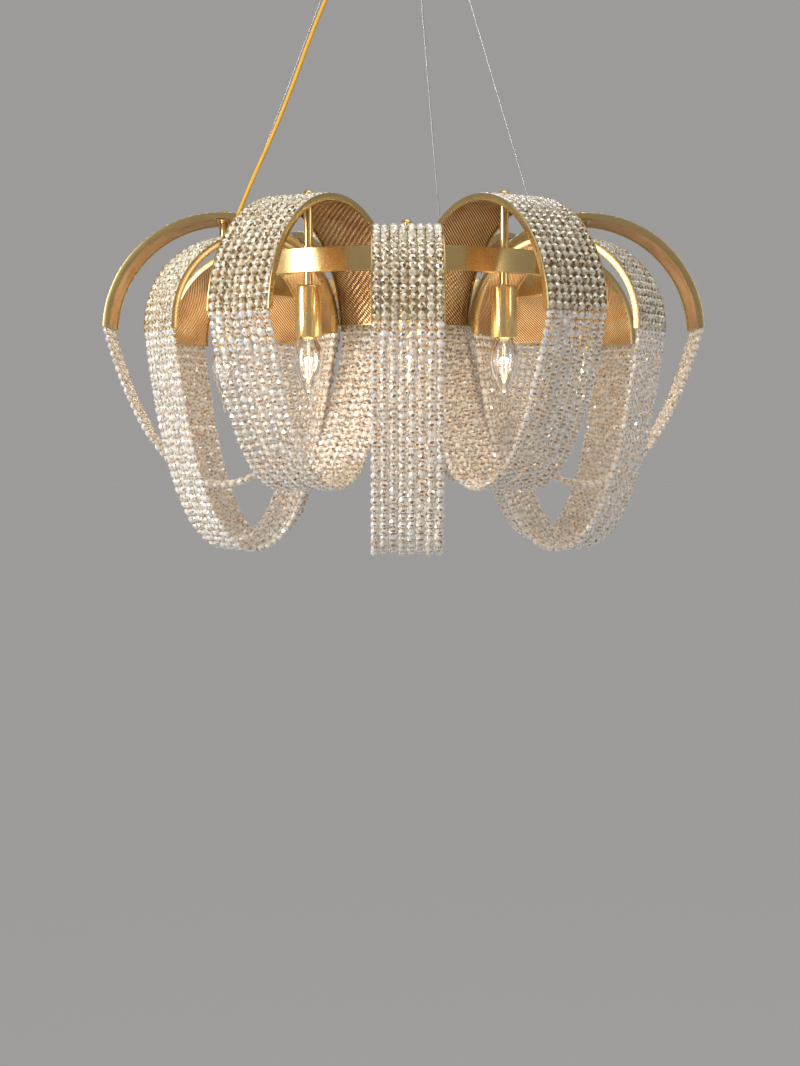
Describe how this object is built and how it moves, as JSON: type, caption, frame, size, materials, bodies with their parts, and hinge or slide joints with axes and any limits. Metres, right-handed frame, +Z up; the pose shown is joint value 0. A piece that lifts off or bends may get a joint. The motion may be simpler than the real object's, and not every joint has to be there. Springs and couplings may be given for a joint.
{
  "type": "crystal chandelier",
  "caption": "Ring chandelier hung on cables, with arched straps of glass beads that hang below as swags, and candle bulbs under the ring.",
  "frame": {"origin": "centre of the ceiling plate's upper face, where the lamp is screwed to the ceiling", "axes": "+Z up; -Y is the front, seen in the picture; +X to the viewer's right"},
  "size_m": [0.7962, 0.7302, 0.8175],
  "materials": {
    "canopy_gold": "satin",
    "ring_gold": "satin",
    "strap_gold": "satin",
    "polished_gold": "polished",
    "steel": "satin",
    "crystal": "polished",
    "bulb_glass": "polished",
    "bulb_cap": "satin",
    "holder": "matte",
    "terminal": "matte",
    "cord_jacket": "gloss"
  },
  "bodies": {
    "lamp": {"ceiling_plate": "steel", "canopy": "canopy_gold", "canopy_screws": "polished_gold", "terminal_block": "terminal", "gripper_bodies": "polished_gold", "suspension_cables": "steel", "cable_ferrules": "polished_gold", "ring_channel": "ring_gold", "ring_cover": "ring_gold", "arch_rods": "steel", "spacer_tubes": "polished_gold", "cap_nuts": "polished_gold", "lamp_necks": "polished_gold", "socket_covers": "polished_gold", "lampholders": "holder", "power_cord": "cord_jacket", "cord_glands": "polished_gold", "strap_frame_01": "strap_gold", "bead_net_01": "crystal", "strap_frame_02": "strap_gold", "bead_net_02": "crystal", "strap_frame_03": "strap_gold", "bead_net_03": "crystal", "strap_frame_04": "strap_gold", "bead_net_04": "crystal", "strap_frame_05": "strap_gold", "bead_net_05": "crystal", "strap_frame_06": "strap_gold", "bead_net_06": "crystal", "strap_frame_07": "strap_gold", "bead_net_07": "crystal", "strap_frame_08": "strap_gold", "bead_net_08": "crystal", "strap_frame_09": "strap_gold", "bead_net_09": "crystal", "strap_frame_10": "strap_gold", "bead_net_10": "crystal", "strap_frame_11": "strap_gold", "bead_net_11": "crystal", "strap_frame_12": "strap_gold", "bead_net_12": "crystal"},
    "bulb_1": {"bulb_cap_1": "bulb_cap", "bulb_glass_1": "bulb_glass"},
    "bulb_2": {"bulb_cap_2": "bulb_cap", "bulb_glass_2": "bulb_glass"},
    "bulb_3": {"bulb_cap_3": "bulb_cap", "bulb_glass_3": "bulb_glass"},
    "bulb_4": {"bulb_cap_4": "bulb_cap", "bulb_glass_4": "bulb_glass"},
    "bulb_5": {"bulb_cap_5": "bulb_cap", "bulb_glass_5": "bulb_glass"},
    "bulb_6": {"bulb_cap_6": "bulb_cap", "bulb_glass_6": "bulb_glass"},
    "bulb_7": {"bulb_cap_7": "bulb_cap", "bulb_glass_7": "bulb_glass"},
    "bulb_8": {"bulb_cap_8": "bulb_cap", "bulb_glass_8": "bulb_glass"},
    "collar_left": {"release_collar_left": "polished_gold"},
    "collar_right": {"release_collar_right": "polished_gold"},
    "collar_rear": {"release_collar_rear": "polished_gold"}
  },
  "joints": [
    {"name": "bulb_1_out", "type": "slide", "parent": "lamp", "child": "bulb_1", "axis": [0, 0, -1], "range_m": [0, 0.03]},
    {"name": "bulb_2_out", "type": "slide", "parent": "lamp", "child": "bulb_2", "axis": [0, 0, -1], "range_m": [0, 0.03]},
    {"name": "bulb_3_out", "type": "slide", "parent": "lamp", "child": "bulb_3", "axis": [0, 0, -1], "range_m": [0, 0.03]},
    {"name": "bulb_4_out", "type": "slide", "parent": "lamp", "child": "bulb_4", "axis": [0, 0, -1], "range_m": [0, 0.03]},
    {"name": "bulb_5_out", "type": "slide", "parent": "lamp", "child": "bulb_5", "axis": [0, 0, -1], "range_m": [0, 0.03]},
    {"name": "bulb_6_out", "type": "slide", "parent": "lamp", "child": "bulb_6", "axis": [0, 0, -1], "range_m": [0, 0.03]},
    {"name": "bulb_7_out", "type": "slide", "parent": "lamp", "child": "bulb_7", "axis": [0, 0, -1], "range_m": [0, 0.03]},
    {"name": "bulb_8_out", "type": "slide", "parent": "lamp", "child": "bulb_8", "axis": [0, 0, -1], "range_m": [0, 0.03]},
    {"name": "collar_left_press", "type": "slide", "parent": "lamp", "child": "collar_left", "axis": [0.3411, 0.0914, 0.9356], "range_m": [0, 0.003], "stiffness_N_per_m": 400, "springref_m": -0.001},
    {"name": "collar_right_press", "type": "slide", "parent": "lamp", "child": "collar_right", "axis": [-0.2497, 0.2497, 0.9356], "range_m": [0, 0.003], "stiffness_N_per_m": 400, "springref_m": -0.001},
    {"name": "collar_rear_press", "type": "slide", "parent": "lamp", "child": "collar_rear", "axis": [-0.0914, -0.3411, 0.9356], "range_m": [0, 0.003], "stiffness_N_per_m": 400, "springref_m": -0.001}
  ]
}
